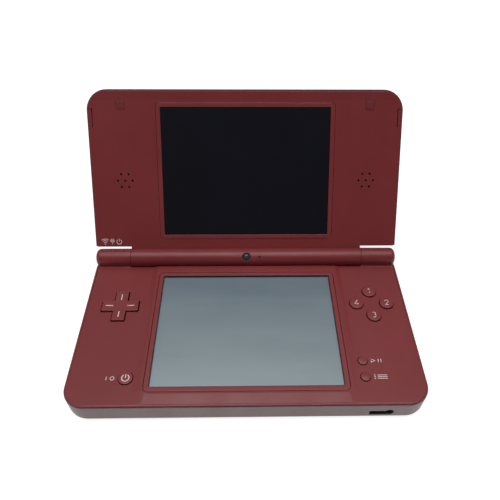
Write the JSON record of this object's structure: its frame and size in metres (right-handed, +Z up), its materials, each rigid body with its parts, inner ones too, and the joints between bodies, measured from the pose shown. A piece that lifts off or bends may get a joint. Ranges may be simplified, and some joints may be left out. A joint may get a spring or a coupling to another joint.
{
  "type": "clamshell handheld game console",
  "caption": "Open two-screen clamshell handheld game console with direction pad, face buttons, hinged lid, shoulder buttons, stylus and card slots.",
  "frame": {"origin": "centre of the lower half's footprint, on the plane of its rubber feet", "axes": "+X to the right along the hinge, +Y to the hinge side, +Z up; the lid is open"},
  "size_m": [0.1613, 0.1392, 0.0853],
  "materials": {
    "casing": "satin burgundy plastic",
    "casing_gloss": "gloss burgundy plastic",
    "tub": "satin mauve-grey plastic",
    "window": "dark gloss screen window",
    "touch_film": "blue-grey semi-gloss touch panel",
    "rubber": "dark rubber",
    "silicone": "grey silicone",
    "board": "green circuit board",
    "black_plastic": "black moulded plastic",
    "bare_metal": "bare sheet metal",
    "screw_metal": "plated screw",
    "contact_metal": "gold-plated contact",
    "battery_wrap": "plastic battery case",
    "flex": "amber flexible circuit",
    "clear_plastic": "smoky clear plastic",
    "lens_glass": "dark camera lens"
  },
  "bodies": {
    "base": {"lower_housing": "tub", "control_deck": "casing", "lower_screen_surround": "casing", "touch_panel": "touch_film", "lower_screen_gasket": "rubber", "lower_lcd": "bare_metal", "main_board": "board", "board_chips": "black_plastic", "rf_shield": "bare_metal", "wireless_module": "bare_metal", "battery_pack": "battery_wrap", "battery_contacts": "contact_metal", "battery_cover": "tub", "battery_cover_screws": "screw_metal", "housing_screws": "screw_metal", "rubber_feet": "rubber", "game_card_socket": "bare_metal", "memory_card_socket": "bare_metal", "headphone_jack": "black_plastic", "charging_socket": "black_plastic", "board_switches": "black_plastic", "face_button_mat": "silicone", "menu_button_mat": "silicone", "shoulder_pins": "bare_metal", "shoulder_springs": "bare_metal", "hinge_cartridge": "bare_metal", "hinge_sleeve": "bare_metal", "status_light_guides": "clear_plastic", "display_flex_cable": "flex"},
    "lid": {"lid_panel": "casing", "lid_cover": "casing_gloss", "upper_screen_surround": "casing", "upper_screen_window": "window", "upper_screen_gasket": "rubber", "upper_lcd": "bare_metal", "speaker_left": "black_plastic", "speaker_right": "black_plastic", "inner_camera": "black_plastic", "inner_camera_ring": "black_plastic", "outer_camera": "black_plastic", "outer_camera_lens": "lens_glass", "microphone": "bare_metal", "lid_pads": "casing", "lid_screws": "screw_metal", "hinge_shaft": "bare_metal"},
    "dpad_mat": {"dpad_mat": "silicone"},
    "dpad": {"dpad": "casing"},
    "face_button_top": {"face_button_top": "casing"},
    "face_button_right": {"face_button_right": "casing"},
    "face_button_bottom": {"face_button_bottom": "casing"},
    "face_button_left": {"face_button_left": "casing"},
    "start_button": {"start_button": "casing"},
    "select_button": {"select_button": "casing"},
    "power_button": {"power_button": "casing"},
    "volume_rocker": {"volume_rocker": "casing_gloss"},
    "shoulder_button_left": {"shoulder_button_left": "casing_gloss"},
    "shoulder_button_right": {"shoulder_button_right": "casing_gloss"},
    "memory_card_flap": {"memory_card_flap": "tub"},
    "stylus": {"stylus": "casing_gloss"}
  },
  "joints": [
    {"name": "lid_hinge", "type": "hinge", "parent": "base", "child": "lid", "pos_m": [0, 0.04, 0.0148], "axis": [-1, 0, 0], "range_deg": [-125, 30]},
    {"name": "dpad_pitch", "type": "hinge", "parent": "base", "child": "dpad_mat", "pos_m": [-0.06295, 0.0087, 0.0101], "axis": [1, 0, 0], "range_deg": [-2.5, 2.5], "stiffness_Nm_per_rad": 0.25},
    {"name": "dpad_roll", "type": "hinge", "parent": "dpad_mat", "child": "dpad", "pos_m": [-0.06295, 0.0087, 0.0101], "axis": [0, 1, 0], "range_deg": [-2.5, 2.5], "stiffness_Nm_per_rad": 0.25},
    {"name": "face_top_press", "type": "slide", "parent": "base", "child": "face_button_top", "axis": [0, 0, -1], "range_m": [0, 0.0006], "stiffness_N_per_m": 600, "springref_m": -0.0003},
    {"name": "face_right_press", "type": "slide", "parent": "base", "child": "face_button_right", "axis": [0, 0, -1], "range_m": [0, 0.0006], "stiffness_N_per_m": 600, "springref_m": -0.0003},
    {"name": "face_bottom_press", "type": "slide", "parent": "base", "child": "face_button_bottom", "axis": [0, 0, -1], "range_m": [0, 0.0006], "stiffness_N_per_m": 600, "springref_m": -0.0003},
    {"name": "face_left_press", "type": "slide", "parent": "base", "child": "face_button_left", "axis": [0, 0, -1], "range_m": [0, 0.0006], "stiffness_N_per_m": 600, "springref_m": -0.0003},
    {"name": "start_press", "type": "slide", "parent": "base", "child": "start_button", "axis": [0, 0, -1], "range_m": [0, 0.0005], "stiffness_N_per_m": 600, "springref_m": -0.0003},
    {"name": "select_press", "type": "slide", "parent": "base", "child": "select_button", "axis": [0, 0, -1], "range_m": [0, 0.0005], "stiffness_N_per_m": 600, "springref_m": -0.0003},
    {"name": "power_press", "type": "slide", "parent": "base", "child": "power_button", "axis": [0, 0, -1], "range_m": [0, 0.0005], "stiffness_N_per_m": 600, "springref_m": -0.0003},
    {"name": "volume_rock", "type": "hinge", "parent": "base", "child": "volume_rocker", "pos_m": [-0.0782, 0.006, 0.0065], "axis": [0, 0, 1], "range_deg": [-3, 3], "stiffness_Nm_per_rad": 0.05},
    {"name": "shoulder_left_press", "type": "hinge", "parent": "base", "child": "shoulder_button_left", "pos_m": [-0.057, 0.0416, 0.0052], "axis": [0, 0, 1], "range_deg": [0, 3.5], "stiffness_Nm_per_rad": 0.1, "springref_deg": -1.15},
    {"name": "shoulder_right_press", "type": "hinge", "parent": "base", "child": "shoulder_button_right", "pos_m": [0.057, 0.0416, 0.0052], "axis": [0, 0, -1], "range_deg": [0, 3.5], "stiffness_Nm_per_rad": 0.1, "springref_deg": -1.15},
    {"name": "memory_flap_fold", "type": "hinge", "parent": "base", "child": "memory_card_flap", "pos_m": [0.0802, 0.001, 0.00305], "axis": [0, 1, 0], "range_deg": [0, 100]},
    {"name": "stylus_slide", "type": "slide", "parent": "base", "child": "stylus", "axis": [1, 0, 0], "range_m": [0, 0.0965]}
  ]
}
